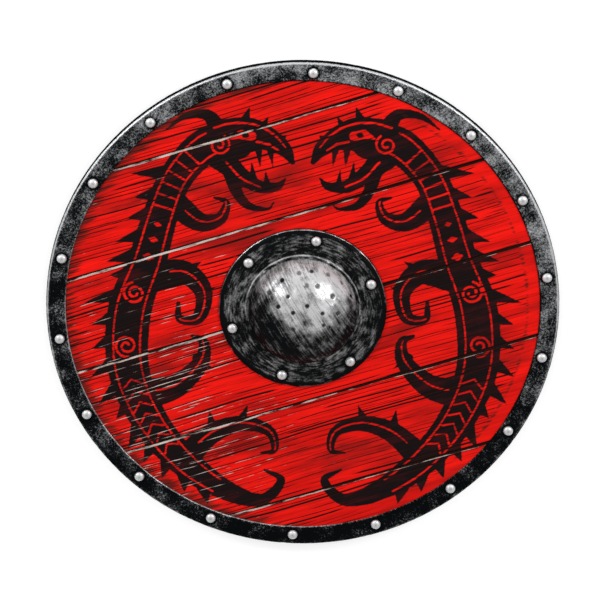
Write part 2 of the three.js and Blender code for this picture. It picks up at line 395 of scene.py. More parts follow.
def beside(line, share, half):
    """A stroke alongside another, at a share of its half width. Positive is to its left."""
    way = np.gradient(line[:, :2], axis=0)
    way /= np.linalg.norm(way, axis=1, keepdims=True)
    left = np.stack([-way[:, 1], way[:, 0]], axis=1)
    found = line[:, :2] + left * (line[:, 2] * share)[:, None]
    return np.column_stack([found, np.full(len(line), half)])


def station(line, share):
    """The point, direction, left side and half width at a share of a stroke's length."""
    steps = np.linalg.norm(np.diff(line[:, :2], axis=0), axis=1)
    run = np.concatenate([[0], np.cumsum(steps)]) / steps.sum()
    at = lambda s: np.array([np.interp(s, run, line[:, k]) for k in range(3)])
    way = at(min(share + 0.01, 1))[:2] - at(max(share - 0.01, 0))[:2]
    way /= np.linalg.norm(way)
    return at(share)[:2], way, np.array([-way[1], way[0]]), at(share)[2]


def coil(middle, outer, inner, start, turns, half, steps=36):
    """A spiral stroke that winds in from outer to inner, anticlockwise where turns is positive."""
    t = np.linspace(0, 1, steps)
    angle = math.radians(start) + 2 * math.pi * turns * t
    reach = outer + (inner - outer) * t
    across, up = middle[0] + reach * np.cos(angle), middle[1] + reach * np.sin(angle)
    return np.column_stack([across, up, np.full(steps, half)])


def part(line, start, end):
    """The stretch of a stroke between two shares of its points."""
    last = len(line) - 1
    return line[int(start * last) : int(end * last) + 1]


# The left beast, in millimetres from the middle: (right, up, half width) with the picture's up
BEAST_BODY = smooth_line(
    [
        (-46, -208, 1.5), (-26, -222, 5), (-50, -247, 8), (-92, -235, 13), (-140, -200, 19),
        (-183, -145, 22), (-208, -78, 25), (-206, -5, 26), (-184, 60, 23), (-168, 115, 21),
        (-148, 165, 20), (-112, 203, 22), (-78, 206, 21),
    ]
)
BEAST_TENDRILS = [
    smooth_line([(-176, 40, 20), (-140, 44, 15), (-118, 20, 11), (-124, -12, 8), (-146, -14, 5),
                 (-148, 6, 2.5)]),
    smooth_line([(-190, -110, 20), (-152, -100, 15), (-122, -70, 10), (-118, -44, 6), (-132, -36, 2)]),
    smooth_line([(-140, -190, 16), (-108, -160, 13), (-72, -148, 10), (-40, -158, 7), (-34, -182, 4),
                 (-50, -186, 1.5)]),
    smooth_line([(-150, 130, 16), (-122, 108, 12), (-98, 112, 8), (-90, 132, 4), (-104, 138, 1.5)]),
]
BEAST_HEAD = [
    smooth_line([(-92, 210, 25), (-64, 216, 21), (-40, 210, 14), (-22, 198, 9), (-12, 182, 3)]),  # snout
    smooth_line([(-98, 190, 17), (-76, 168, 11), (-52, 152, 8), (-30, 152, 5), (-20, 162, 1)]),  # jaw
    smooth_line([(-98, 222, 11), (-112, 240, 7), (-138, 238, 4), (-160, 222, 0.8)]),  # horn
    smooth_line([(-84, 170, 10), (-78, 146, 7), (-64, 128, 5), (-42, 124, 2), (-34, 132, 0.8)]),  # beard
]
# Thorns and teeth: root, half width there, tip
BEAST_POINTS = [
    ((-120, 18), 7, (-104, 26)), ((-126, -64), 6, (-108, -78)), ((-74, -146), 7, (-66, -124)),
    ((-108, -158), 8, (-112, -130)), ((-150, -102), 8, (-142, -76)), ((-140, 46), 8, (-120, 58)),
    ((-28, 208), 8, (-19, 215)), ((-70, 226), 9, (-62, 250)), ((-50, 220), 7, (-40, 238)),
    ((-52, 200), 5, (-50, 176)), ((-38, 196), 4, (-35, 176)), ((-58, 160), 5, (-60, 182)),
    ((-42, 154), 4, (-44, 172)),
]
FACE_REACH = 277  # no thorn passes this radius
TIP = 0.3  # half width at a point's tip
THORNS, THORNS_FROM, THORNS_RUN = 17, 0.2, 0.66  # down the back, by shares of the body's length
SHORT_THORN, LONG_THORN = 21, 30

# Red lines left open in the black. Shares are of the body's length from its tail
BORDERS = 0.62  # of the body's half width, either side
LOZENGES = ((0.70, 5), (0.735, 4), (0.765, 3))  # share, size
SPIRALS = ((0.625, 100, 1.7), (0.52, -80, -1.7))  # share, start in degrees, turns
CHEVRONS, CHEVRONS_FROM, CHEVRON_PITCH = 7, 0.30, 0.024
NECK_BARS, NECK_BARS_FROM, NECK_BAR_PITCH = 6, 0.80, 0.022
HEAD_LINES = [
    smooth_line([(-104, 224, 1.3), (-82, 230, 1.3), (-56, 228, 1.3), (-34, 216, 1.3), (-20, 200, 0.8)]),
    coil((-98, 203), 13, 2.5, 60, -1.5, 1.3),
    [(-54, 207, 1.2), (-40, 204, 1.2), (-28, 196, 1.0)],
    smooth_line([(-90, 182, 1.2), (-72, 162, 1.2), (-50, 151, 1.0)]),
]
EYE = [(-60, 214, 5.5), (-72, 216, 5.5), (-84, 211, 1)]
PUPIL = [(-66, 215, 3.2), (-68, 215, 3.2)]


def beast_black():
    """Black strokes: body, tendrils, head and thorns, with a row of thorns down the back."""
    strokes = [BEAST_BODY, *BEAST_TENDRILS, *BEAST_HEAD]
    strokes += [[(*root, half), (*tip, TIP)] for root, half, tip in BEAST_POINTS]
    for k in range(THORNS):
        place, way, left, half = station(BEAST_BODY, THORNS_FROM + THORNS_RUN * k / (THORNS - 1))
        long = (SHORT_THORN if k % 2 else LONG_THORN) * (0.75 + 0.25 * math.sin(2.1 * k))
        tip = place + left * (half + long) - way * long * 0.75
        tip *= min(1, FACE_REACH / np.hypot(*tip))
        strokes.append([(*(place + left * half * 0.72), 9.5), (*tip, TIP)])
    return strokes


def beast_red():
    """Red lines left open in the black."""
    strokes = [beside(part(tendril, 0.12, 0.8), 0.1, 0.95) for tendril in BEAST_TENDRILS]
    strokes += [beside(part(BEAST_BODY, 0.28, 0.93), share, 1.05) for share in (-BORDERS, BORDERS)]
    for k in range(NECK_BARS):
        place, way, left, half = station(BEAST_BODY, NECK_BARS_FROM + NECK_BAR_PITCH * k)
        strokes.append([(*(place - left * half * 0.55), 1.1), (*(place + left * half * 0.55), 1.1)])
    for share, size in LOZENGES:
        place, way, left, half = station(BEAST_BODY, share)
        ends = [(*(place + left * size * side), 0.8) for side in (-1.3, 1.3)]
        strokes.append([ends[0], (*place, size * 0.9), ends[1]])
    for share, start, turns in SPIRALS:
        place, way, left, half = station(BEAST_BODY, share)
        strokes.append(coil(place, half * 0.56, 3, start, turns, 1.4))
    for k in range(CHEVRONS):
        place, way, left, half = station(BEAST_BODY, CHEVRONS_FROM + CHEVRON_PITCH * k)
        for side in (-0.5, 0.5):
            strokes.append([(*(place + way * 6), 1.0), (*(place + left * side * half - way * 3), 1.0)])
    return strokes + HEAD_LINES + [EYE]


def ornament_distance(u, v):
    """Distance to the black paint, in the picture's directions. The right half mirrors the left."""

    def nearest(strokes):
        found = np.full(u.shape, FAR)
        for stroke in strokes:
            found = np.minimum(found, stroke_distance(-np.abs(u), v, stroke))
        return found

    return np.minimum(np.maximum(nearest(beast_black()), -nearest(beast_red())), nearest([PUPIL]))


# ---- planks

HAND_HOLE_RADIUS = 59.0
HOLE_COLUMNS = 0.26  # the share of a middle plank's columns that cross the hole
ROW_PITCH = 0.55  # the face's mesh, across the planks
COLUMN_PITCH = 1.9  # and along them
BACK_STEP = 4  # the back's mesh is this many times coarser
SEAM_WIDTH = 2.1  # the bare wall of a seam, with a painted highlight on it
SEAM_DARK = 1.5  # the wall across from it, dark with painted shade
SEAM_DEPTH = 1.7
CHAMFER = 1.6
EDGE_BEVEL = 2.0
LINE_DEPTH = 0.75
LINE_SPACING = 2.6, 6.4  # least and most from one grain line to the next
LINE_FADE = 24  # a line thins out over this length at each end
LINE_REACH = 6  # a line and its drift stay this near its place
LINE_LENGTH, LINE_GAP = (2.6, 80), (1.4, 18)  # shape and scale of their gamma distributions
GRAIN = (0.5, 0.78), (0.3, 0.85), (0.0, 0.95)  # least and most half width, depth and wear of a line
GOUGE = (0.95, 1.4), (0.8, 1.0), (0.5, 1.0)
GOUGE_SHARE = 0.13
LIP_OFFSET, LIP_SPREAD = 0.35, 0.42  # of the worn lip below a line
PLAIN_RING = 262, 272  # to the right, the grain lines end between these radii
SCORED_RING, SCORED_SPREAD = 267, 3.5  # and are crossed by scratches here
GRIME_RING = 254, 282  # to the left, grime grows between these radii
PLANK_SEED = 100


def picture_directions(x, y):
    """The picture's right and up for places on the shield."""
    turn = PLANK_TURN
    return x * math.cos(turn) - y * math.sin(turn), x * math.sin(turn) + y * math.cos(turn)


def columns_past_hole(count):
    """Places along a plank, -1 to 1, spaced by angle across the hand hole, whose edge is then smooth."""
    half = (count - 1) // 2
    inner = BACK_STEP * round(HOLE_COLUMNS * half / BACK_STEP)
    edge = HAND_HOLE_RADIUS / BOARD_RADIUS
    across = edge * np.sin(np.linspace(-np.pi / 2, np.pi / 2, 2 * inner + 1))
    side = np.linspace(edge, 1, half - inner + 1)[1:]
    return np.concatenate([-side[::-1], across, side])


def plank_grid(index):
    """Points over a plank in rows from its low edge to its high edge, bent round the hand hole."""
    low, high = (corner[1] for corner in cad_box(f"plank_{index + 1}"))
    nearest = max(low, -high, 0)
    longest = 2 * math.sqrt(BOARD_RADIUS**2 - nearest**2)
    rows = BACK_STEP * round((high - low) / (BACK_STEP * ROW_PITCH)) + 1
    columns = 2 * BACK_STEP * round(longest / (2 * BACK_STEP * COLUMN_PITCH)) + 1
    at_hole = min(abs(low), abs(high)) < 1
    places = columns_past_hole(columns) if at_hole else np.linspace(-1, 1, columns)
    share = np.linspace(0, 1, rows)[:, None]
    level = low + (high - low) * share
    reach = np.sqrt(np.maximum(BOARD_RADIUS**2 - level**2, 12**2))
    x = reach * places
    hole = np.sqrt(np.maximum(HAND_HOLE_RADIUS**2 - x**2, 0))
    start = np.maximum(low, hole) if 0 <= low < HAND_HOLE_RADIUS else low
    end = np.minimum(high, -hole) if -HAND_HOLE_RADIUS < high <= 0 else high
    return x, start * (1 - share) + end * share + 0 * x


def grain_lines(rng, low, high, reach):
    """Grooves along a plank, in long strokes with gaps: (y, start, end, half width, depth, wear)."""
    lines = []
    y = low + rng.uniform(SEAM_WIDTH, 5)
    while y < high - SEAM_WIDTH:
        x = -reach - rng.uniform(0, 90)
        while x < reach:
            length = rng.gamma(*LINE_LENGTH)
            ranges = GOUGE if rng.uniform() < GOUGE_SHARE else GRAIN
            half, depth, wear = (rng.uniform(*limits) for limits in ranges)
            lines.append((y + rng.normal(0, 0.5), x, x + length, half, depth, wear))
            x += length + rng.gamma(*LINE_GAP)
        y += rng.uniform(*LINE_SPACING)
    return lines


def carve(x, y, lines, phase):
    """How deep the lines are at each place, 0 to 1, and how strongly their lower lip is worn."""
    depth_here = np.zeros(x.shape)
    lip_here = np.zeros(x.shape)
    lowest, highest = y.min(axis=1), y.max(axis=1)
    for at, start, end, half, depth, wear in lines:
        band = (lowest < at + LINE_REACH) & (highest > at - LINE_REACH)
        along = smooth_step(0, LINE_FADE, x[band] - start) * smooth_step(0, LINE_FADE, end - x[band])
        drift = 1.5 * np.sin(x[band] / 95 + phase) + 0.6 * np.sin(x[band] / 37 + 2.2 * phase)
        away = y[band] - at - drift - 0.3 * np.sin(x[band] / 15 + at)
        width = half * (0.45 + 0.55 * along)
        groove = along * depth * np.clip(1.4 - 1.2 * (away / width) ** 2, 0, 1)
        depth_here[band] = np.maximum(depth_here[band], groove)
        lip = along * wear * bell(away + width + LIP_OFFSET, LIP_SPREAD)
        lip_here[band] = np.maximum(lip_here[band], lip)
    return depth_here, lip_here


def rows_of_back(x, y, rng):
    """The back's points: sawn flat with shallow waves, its long edges chamfered."""
    x, y = x[::BACK_STEP, ::BACK_STEP].copy(), y[::BACK_STEP, ::BACK_STEP].copy()
    z = BOARD_BACK + 0.12 * (1 + np.clip(waves(np.stack([x * 0.15, y], axis=-1), rng, 12), -1, 1))
    z[[0, -1]] = BOARD_BACK + CHAMFER
    radius = np.hypot(x, y)
    shrink = np.where(radius > BOARD_RADIUS - 1, 1 - EDGE_BEVEL / radius, 1)
    return np.stack([x * shrink, y * shrink, z], axis=-1)


def border(rows, columns):
    """Indices round the edge of a grid, anticlockwise from its first point."""
    grid = np.arange(rows * columns).reshape(rows, columns)
    return np.concatenate([grid[0, :-1], grid[:-1, -1], grid[-1, :0:-1], grid[:0:-1, 0]])


def seam_distances(index, x, y):
    """How far points are above a plank's low seam and below its high one, where it has them."""
    low, high = cad_box(f"plank_{index + 1}")
    at_hole = np.where(np.abs(x) < HAND_HOLE_RADIUS, FAR, 0)
    below = y - low[1] + at_hole * (abs(low[1]) < 1) + (FAR if index == 0 else 0)
    above = high[1] - y + at_hole * (abs(high[1]) < 1) + (FAR if index == PLANK_COUNT - 1 else 0)
    return below, above + 0.35 * np.sin(x / 41 + index) + 0.25 * np.sin(x / 13 + 2 * index)


def plank_face(index, x, y, rng):
    """The height of a plank's face, and what its paint goes by."""
    low, high = cad_box(f"plank_{index + 1}")
    u, v = picture_directions(x, y)
    radius = np.hypot(x, y)
    below, above = seam_distances(index, x, y)

    # Lines, with bare lips that are strongest to the lower left
    lines, lips = carve(x, y, grain_lines(rng, low[1], high[1], high[0]), index)
    lined = 1 - smooth_step(*PLAIN_RING, radius) * smooth_step(40, 140, u)
    lines *= lined
    lips *= lined * (0.25 + 0.85 * np.exp(-((u + 150) ** 2 + (v + 130) ** 2) / 150**2))
    lips += 0.13 * (lips > 0.05) * smooth_step(60, -120, u) * lined

    # A seam's high wall is bare wood with a painted highlight, pale to the left and dark with a pale
    # line to the upper right; its low wall is painted into shade
    shaded = smooth_step(-20, 100, u) * (1.0 + 0.5 * smooth_step(-200, 60, v))
    dark_wall = SEAM_DARK * (1 + 0.45 * shaded)
    bare_wall = SEAM_WIDTH * (1 + 0.3 * smooth_step(20, -140, u))
    # pale: bare wood with a painted highlight on the seam's high wall
    pale = smooth_step(0.1 + shaded, 0.5 + shaded, above)
    pale = pale * smooth_step(bare_wall + 0.4, bare_wall - 0.2, above)
    groove = np.maximum(np.clip(1 - below / dark_wall, 0, 1), np.clip(1 - above / bare_wall, 0, 1))
    # a painted shadow just below the seam's pale wall
    under = bell(above - bare_wall - 0.8, 0.5)
    # painted shade on the seam's low wall, and the joint line widened into painted shade to the upper
    # right
    dark = np.clip(2.2 - 2 * below / dark_wall, 0, 1)
    dark = np.maximum(dark, smooth_step(bare_wall, bare_wall - 0.6, above))

    z = BOARD_FRONT - 0.15 - LINE_DEPTH * lines - SEAM_DEPTH * groove
    z += 0.1 * np.clip(waves(np.stack([x * 0.12, y], axis=-1), rng, 9), -1.2, 1.2)
    z -= np.clip(radius - BOARD_RADIUS + EDGE_BEVEL, 0, EDGE_BEVEL)
    scored = bell(radius - SCORED_RING, SCORED_SPREAD) * smooth_step(60, 140, u)
    grime = smooth_step(*GRIME_RING, radius) * smooth_step(60, -60, u)
    looks = {
        "paint": ornament_distance(u, v),
        "gouge_and_shade": np.maximum(np.maximum(lines, dark), 0.6 * under),
        "rub_and_highlight": np.maximum(lips, 0.76 * pale),
        "edge": np.maximum(grime, 0.75 * scored),
    }
    return z, looks


def plank(index, face, back):
    """A plank: carved and painted face, plainer back, and walls that join the two meshes."""
    rng = np.random.default_rng(PLANK_SEED + index)
    x, y = plank_grid(index)
    z, looks = plank_face(index, x, y, rng)
    front = np.stack([x, y, z], axis=-1)
    behind = rows_of_back(x, y, rng)
    faces = grid_faces(*x.shape)
    face_count = len(faces)
    count = x.size
    faces += [corners[::-1] for corners in grid_faces(*behind.shape[:2], start=count)]
    outer = border(*x.shape)
    inner = border(*behind.shape[:2]) + count
    for k in range(len(inner)):
        stretch = outer[np.arange(BACK_STEP * k, BACK_STEP * (k + 1) + 1) % len(outer)]
        faces.append([*stretch[::-1].tolist(), int(inner[k]), int(inner[(k + 1) % len(inner)])])
    points = np.vstack([front.reshape(-1, 3), behind.reshape(-1, 3)])
    seams_behind = np.zeros(behind.shape[:2])  # the back's wood goes by its seam darkening alone
    seams_behind[[0, -1]] = 1
    values = {key: np.concatenate([a.ravel(), seams_behind.ravel()]) for key, a in looks.items()}
    slots = [0] * face_count + [1] * (len(faces) - face_count)
    piece = mesh_object(f"plank_face_{index + 1}", points, faces, [face, back], values, slots)
    dress(piece, "red_face", f"plank_{index + 1}", sharp=50)


# ---- turned metal


def turned(profile, sides, angle_from=0.0, angle_to=2 * math.pi):
    """Points of a profile of (radius, height) turned about Z: an array of profile by sides by 3."""
    closed = angle_to - angle_from > 2 * math.pi - 1e-6
    angles = np.linspace(angle_from, angle_to, sides, endpoint=not closed)
    profile = np.asarray(profile, float)
    x = profile[:, :1] * np.cos(angles)
    y = profile[:, :1] * np.sin(angles)
    z = profile[:, 1:] + 0 * angles
    return np.stack([x, y, z], axis=-1)


def arc(centre_x, centre_y, radius_x, radius_y, start, end, steps):
    """Points round an ellipse from start to end, in degrees."""
    angles = np.radians(np.linspace(start, end, steps + 1))
    return [(centre_x + radius_x * math.cos(a), centre_y + radius_y * math.sin(a)) for a in angles]


def line(start, end, steps):
    """Points from start to end, leaving out the last."""
    return [tuple(np.array(start) + (np.array(end) - start) * k / steps) for k in range(steps)]


def section_normals(profile):
    """Unit normals of a (radius, height) profile, to the right of its run."""
    way = np.gradient(np.asarray(profile, float), axis=0)
    way /= np.linalg.norm(way, axis=1, keepdims=True)
    return np.stack([way[:, 1], -way[:, 0]], axis=1)


def push(points, normals, amount):
    """Turned points moved along their section's normals, by an amount for each point."""
    radial = points[..., :2] / np.linalg.norm(points[..., :2], axis=-1, keepdims=True)
    points[..., :2] += radial * (normals[:, :1] * amount)[..., None]
    points[..., 2] += normals[:, 1:] * amount


def from_rivets(points, prefix, count):
    """Distance in plan to the nearest of the rivets."""
    found = np.full(points.shape[:-1], 1e3)
    for k in range(1, count + 1):
        middle = plan_middle(f"{prefix}_{k}")
        found = np.minimum(found, np.hypot(points[..., 0] - middle[0], points[..., 1] - middle[1]))
    return found


RIM_RIVETS, BOSS_RIVETS = 18, 6
RIVET_SHADE = 9.5, 6.5  # dirt and painted shadow gather between these distances from a rivet's middle
RIM_SHEET, RIM_BEND, RIM_INNER = 1.5, 3.4, 281.6
RIM_JOINT_ANGLE, RIM_JOINT_GAP = math.radians(-6.4), 0.6
RIM_SIDES, RIM_SEED = 900, 31
RIM_INSET = 0.1  # the strip stays this far inside the CAD's
LIGHT_SIDE = 0.6, 0.8  # the rim's painted light is brighter towards this way: right, up


def rim(material):
    """The rim strip: bent over the boards' edge, dented, its ends meeting at the joint."""
    rng = np.random.default_rng(RIM_SEED)
    outer, low, high = SHIELD_RADIUS - RIM_INSET, RIM_BACK + RIM_INSET, RIM_FRONT - RIM_INSET
    bend, lining, ease = RIM_BEND, SHIELD_RADIUS - RIM_SHEET, 0.7
    skin = (
        [(RIM_INNER, low + ease), (RIM_INNER + ease, low)]
        + line((RIM_INNER + ease, low), (outer - bend, low), 6)[1:]
        + arc(outer - bend, low + bend, bend, bend, -90, 0, 6)
        + line((outer, low + bend), (outer, high - bend), 2)[1:]
        + arc(outer - bend, high - bend, bend, bend, 0, 90, 9)
        + line((outer - bend, high), (RIM_INNER + ease, high), 15)[1:]
        + [(RIM_INNER + ease, high), (RIM_INNER + 0.2, high - 0.3), (RIM_INNER, high - ease)]
    )
    over, under, bevel = high - RIM_SHEET, low + RIM_SHEET, 1.5
    inside = [(RIM_INNER, over), (lining - bevel, over), (lining, over - bevel)]
    inside += [(lining, under + bevel), (lining - bevel, under), (RIM_INNER, under)]
    half_gap = RIM_JOINT_GAP / 2 / outer
    first, last = RIM_JOINT_ANGLE + half_gap, RIM_JOINT_ANGLE + 2 * math.pi - half_gap
    points = turned(skin + inside, RIM_SIDES, first, last)
    face = points[: len(skin)]
    dents = np.abs(0.55 * waves(face, rng, 12, 30) + 0.3 * waves(face, rng, 5, 30))
    push(face, section_normals(skin), -0.26 * np.minimum(dents, 1.6))

    at = np.array(skin + inside)[:, :, None]
    right, up = picture_directions(points[..., 0], points[..., 1])
    # painted light: strongest towards the top
    lit = 0.25 + 0.75 * smooth_step(-150, 60, up)
    on_face = at[:, 1] > (low + high) / 2
    crest = bell(at[:, 0] - outer + 1.7, 0.9) * on_face
    inner_edge = bell(at[:, 0] - RIM_INNER, 0.9) * on_face
    # dirt and painted shadow round the rivets
    dark = smooth_step(*RIVET_SHADE, from_rivets(points, "rim_rivet", RIM_RIVETS)) * on_face
    # the outer wall, to be painted into shade
    wall = (at[:, 0] > outer - 0.3) * (at[:, 1] < high - 0.6 * bend)
    lean = (LIGHT_SIDE[0] * right + LIGHT_SIDE[1] * up) / SHIELD_RADIUS
    low_right = smooth_step(-0.45, -0.95, (0.85 * up - 0.5 * right) / SHIELD_RADIUS)
    # wear: the crest rubbed bright, with a painted highlight strongest towards the top; a painted
    # highlight on the inner edge to the lower left and painted shade on it to the upper right; the outer
    # wall painted black as shade
    wear = 0.6 * crest * lit - 0.5 * inner_edge * lean - 0.22 * dark - 0.6 * wall
    # painted light: the whole rim a little lighter towards the upper right
    wear += 0.10 * lean
    # darker to the lower right
    wear -= 0.1 * low_right

    rows = len(points)
    faces = grid_faces(rows, RIM_SIDES, wrap_rows=True)
    faces.append([row * RIM_SIDES for row in range(rows)])
    faces.append([row * RIM_SIDES + RIM_SIDES - 1 for row in range(rows)][::-1])
    piece = mesh_object("rim_strip", points, faces, [material], {"wear": wear})
    dress(piece, "rim_iron", "rim", sharp=60)


BOSS_SHEET, DOME_RADIUS, FILLET, FLANGE_RISE, FLANGE_FLAT = 1.8, 65.0, 3.5, 1.4, 80.0
LIP_WIDTH, LIP_DROP = 5.0, 3.0
FLANGE = BOSS_LOW + BOSS_SHEET + LIP_DROP
DOME_FOOT = FLANGE + FLANGE_RISE + FILLET
DOME_HEIGHT = BOSS_TOP - DOME_FOOT - 0.05
BOSS_SIDES, BOSS_SEED = 360, 57
DIMPLE_RINGS = ((17, 6), (36, 12), (57, 17))  # lean from the crown in degrees, and how many
DIMPLE_MIDDLE = 7.3, 0.8  # the rings were punched about this place
DIMPLE_DEPTH, DIMPLE_BURR = 0.8, 0.1
FLANGE_DENTS, DENT_CIRCLE = 12, 79.0


def boss_section():
    """The boss's outside and inside, from the crown to the lip and back."""
    root = DOME_RADIUS + FILLET
    outside = (
        arc(0, DOME_FOOT, DOME_RADIUS, DOME_HEIGHT, 89.5, 3, 82)
        + arc(root, DOME_FOOT, FILLET, FILLET, 187, 270, 8)
        + line((root, FLANGE + FLANGE_RISE), (FLANGE_FLAT, FLANGE), 14)[1:]
        + line((FLANGE_FLAT, FLANGE), (BOSS_RADIUS - LIP_WIDTH, FLANGE), 12)
        + line((BOSS_RADIUS - LIP_WIDTH, FLANGE), (BOSS_RADIUS - 0.8, FLANGE - 0.65 * LIP_DROP), 4)
        + [(BOSS_RADIUS - 0.8, FLANGE - 0.65 * LIP_DROP), (BOSS_RADIUS - 0.2, FLANGE - 0.9 * LIP_DROP)]
        + [(BOSS_RADIUS - 0.05, BOSS_LOW + 0.1)]
    )
    under = FLANGE - BOSS_SHEET
    inside = (
        [(BOSS_RADIUS - BOSS_SHEET, BOSS_LOW), (BOSS_RADIUS - LIP_WIDTH - 0.6, under)]
        + [(FLANGE_FLAT, under)]
        + arc(root, DOME_FOOT, FILLET + BOSS_SHEET, FILLET + BOSS_SHEET, 270, 200, 4)
        + arc(0, DOME_FOOT, DOME_RADIUS - BOSS_SHEET, DOME_HEIGHT - BOSS_SHEET, 4, 89.5, 16)
    )
    return outside, inside


def dimples(rng):
    """Places and radii of the punched dimples: rings about a place off the crown, and on the flange."""
    found = []
    for tilt, count in DIMPLE_RINGS:
        for k in range(count):
            turn = 2 * math.pi * (k + rng.normal(0, 0.09)) / count + tilt
            lean = math.radians(tilt + rng.normal(0, 1.8))
            flat = DOME_RADIUS * math.sin(lean) * np.array([math.cos(turn), math.sin(turn)])
            flat = flat + DIMPLE_MIDDLE
            drop = min(np.hypot(*flat) / DOME_RADIUS, 0.98)
            height = DOME_FOOT + DOME_HEIGHT * math.sqrt(1 - drop**2)
            found.append((np.array([*flat, height]), rng.uniform(2.7, 3.6)))
    for k in range(FLANGE_DENTS):
        turn = 2 * math.pi * (k + rng.normal(0, 0.12)) / FLANGE_DENTS
        place = np.array([DENT_CIRCLE * math.cos(turn), DENT_CIRCLE * math.sin(turn), FLANGE])
        found.append((place, rng.uniform(1.9, 2.5)))
    return found


def boss(material):
    """The boss: beaten and dimpled, worn bright where hands and cloth reach it, with painted light and
    highlights towards the top, and dark elsewhere.
    """
    rng = np.random.default_rng(BOSS_SEED)
    outside, inside = boss_section()
    points = turned(outside + inside, BOSS_SIDES)
    face = points[: len(outside)]
    sink = np.zeros(face.shape[:2])
    pit = np.zeros(face.shape[:2])
    for middle, size in dimples(rng):
        away = np.linalg.norm(face - middle, axis=-1)
        sink = np.maximum(sink, DIMPLE_DEPTH * np.clip(1 - (away / size) ** 2, 0, 1))
        sink -= DIMPLE_BURR * bell(away - size - 0.4, 0.6)
        pit = np.maximum(pit, smooth_step(size + 0.3, 0.65 * size, away) * rng.uniform(0.6, 1.0))
    radius = np.hypot(face[..., 0], face[..., 1])
    beaten = 0.25 * np.clip(waves(face, rng, 15, 30), -1, 1)
    beaten = beaten + 0.08 * np.clip(waves(face, rng, 6, 30), -1, 1)
    push(face, section_normals(outside), (sink - beaten + 0.33) * np.minimum(radius / 3, 1))

    right, up = picture_directions(face[..., 0], face[..., 1])
    up_share = smooth_step(-25, 45, up)
    on_dome = smooth_step(DOME_FOOT - 2.2, DOME_FOOT + 0.5, face[..., 2])
    # The crown is worn bright with painted light round a spot above it, the flank has painted light
    # above and is darker to the lower left
    bright = on_dome * 0.96 * smooth_step(54, 18, np.hypot((right - 8) / 1.25, up - 25))
    bright += on_dome * 0.45 * smooth_step(5, 45, up) * smooth_step(45, 60, radius)
    bright -= on_dome * 0.22 * smooth_step(5, 50, -0.8 * right - 0.6 * up)
    # The flange is dark, with painted highlights at the root and along the lip's edge, and darker over
    # the lip
    bright += (1 - on_dome) * 0.04
    bright += bell(radius - DOME_RADIUS - 3.2, 0.8) * up_share
    bright -= 0.5 * smooth_step(BOSS_RADIUS - LIP_WIDTH - 2, BOSS_RADIUS - LIP_WIDTH, radius)
    bright += bell(radius - BOSS_RADIUS + 0.9, 0.6) * (0.4 + up_share)
    # Dirt sits in the middle of the crown; dirt and painted shadow sit round the rivets
    bright -= 0.7 * bell(np.hypot(face[..., 0] - 2, face[..., 1] + 1), 5)
    bright -= 0.5 * smooth_step(*RIVET_SHADE, from_rivets(face, "boss_rivet", BOSS_RIVETS))
    hidden = np.zeros((len(inside), BOSS_SIDES))
    steep = on_dome * smooth_step(44, 58, radius)
    looks = {"pit": pit, "bright": bright, "dome": on_dome, "steep": steep}
    values = {key: np.vstack([value, hidden]) for key, value in looks.items()}
    faces = tube_faces(len(points), BOSS_SIDES)
    piece = mesh_object("boss_shell", points, faces, [material], values)
    dress(piece, "boss_iron", "boss", sharp=60, flip=True)


RIVET_HEAD, RIVET_RISE, RIVET_SHANK, RIVET_TAIL, TAIL_RISE = 5.9, 3.9, 2.6, 4.6, 1.8
RIVET_SIDES = 36
RIM_STUD_SEED, BOSS_STUD_SEED = 200, 300
HAMMER_BLOWS = 7
TAIL_DIRT = 0.55


def rivet(name, node, material, seed):
    """A domed head with hammered facets, its shank and its flattened tail."""
    rng = np.random.default_rng(seed)
    low, high = cad_box(node)
    foot = high[2] - RIVET_RISE - 0.1
    bottom = low[2]
    slopes = np.linspace(0.08, math.pi / 2 - 0.06, 11)
    profile = [(RIVET_HEAD * math.sin(a), foot + RIVET_RISE * math.cos(a) ** 0.9) for a in slopes]
    profile += [(RIVET_HEAD, foot), (RIVET_SHANK, foot)]
    profile += [(RIVET_SHANK, bottom + TAIL_RISE), (RIVET_TAIL, bottom + TAIL_RISE)]
    profile += [(RIVET_TAIL - 0.4, bottom + 0.7), (RIVET_SHANK, bottom + 0.1), (0.4, bottom)]
    points = turned(profile, RIVET_SIDES)
    on_head = points[..., 2] > foot
    for k in range(HAMMER_BLOWS):  # each cuts the head back to a plane, the first one on the crown
        lean = rng.uniform(0.3, 0.95) if k else 0.05
        turn = rng.uniform(0, 2 * math.pi)
        flat, rise = math.sin(lean), math.cos(lean)
        way = np.array([flat * math.cos(turn), flat * math.sin(turn), rise])
        limit = rng.uniform(0.86, 0.94) * (rise * RIVET_RISE + flat * RIVET_HEAD * 0.75)
        past = np.maximum((points - np.array([0, 0, foot])) @ way - limit, 0) * on_head
        points -= past[..., None] * way
    below_head = points[..., 2] < foot - 0.1
    dirt = np.where(below_head, TAIL_DIRT, smooth_step(foot + 0.7, foot, points[..., 2]))
    centre = bell(np.hypot(points[..., 0], points[..., 1]), 2.0) * on_head
    points[..., :2] += plan_middle(node)
    faces = tube_faces(len(profile), RIVET_SIDES)
    looks = {"foot": dirt, "centre": centre}
    piece = mesh_object(name, points, faces, [material], looks)
    dress(piece, "rivet_steel", node, sharp=50, flip=True)


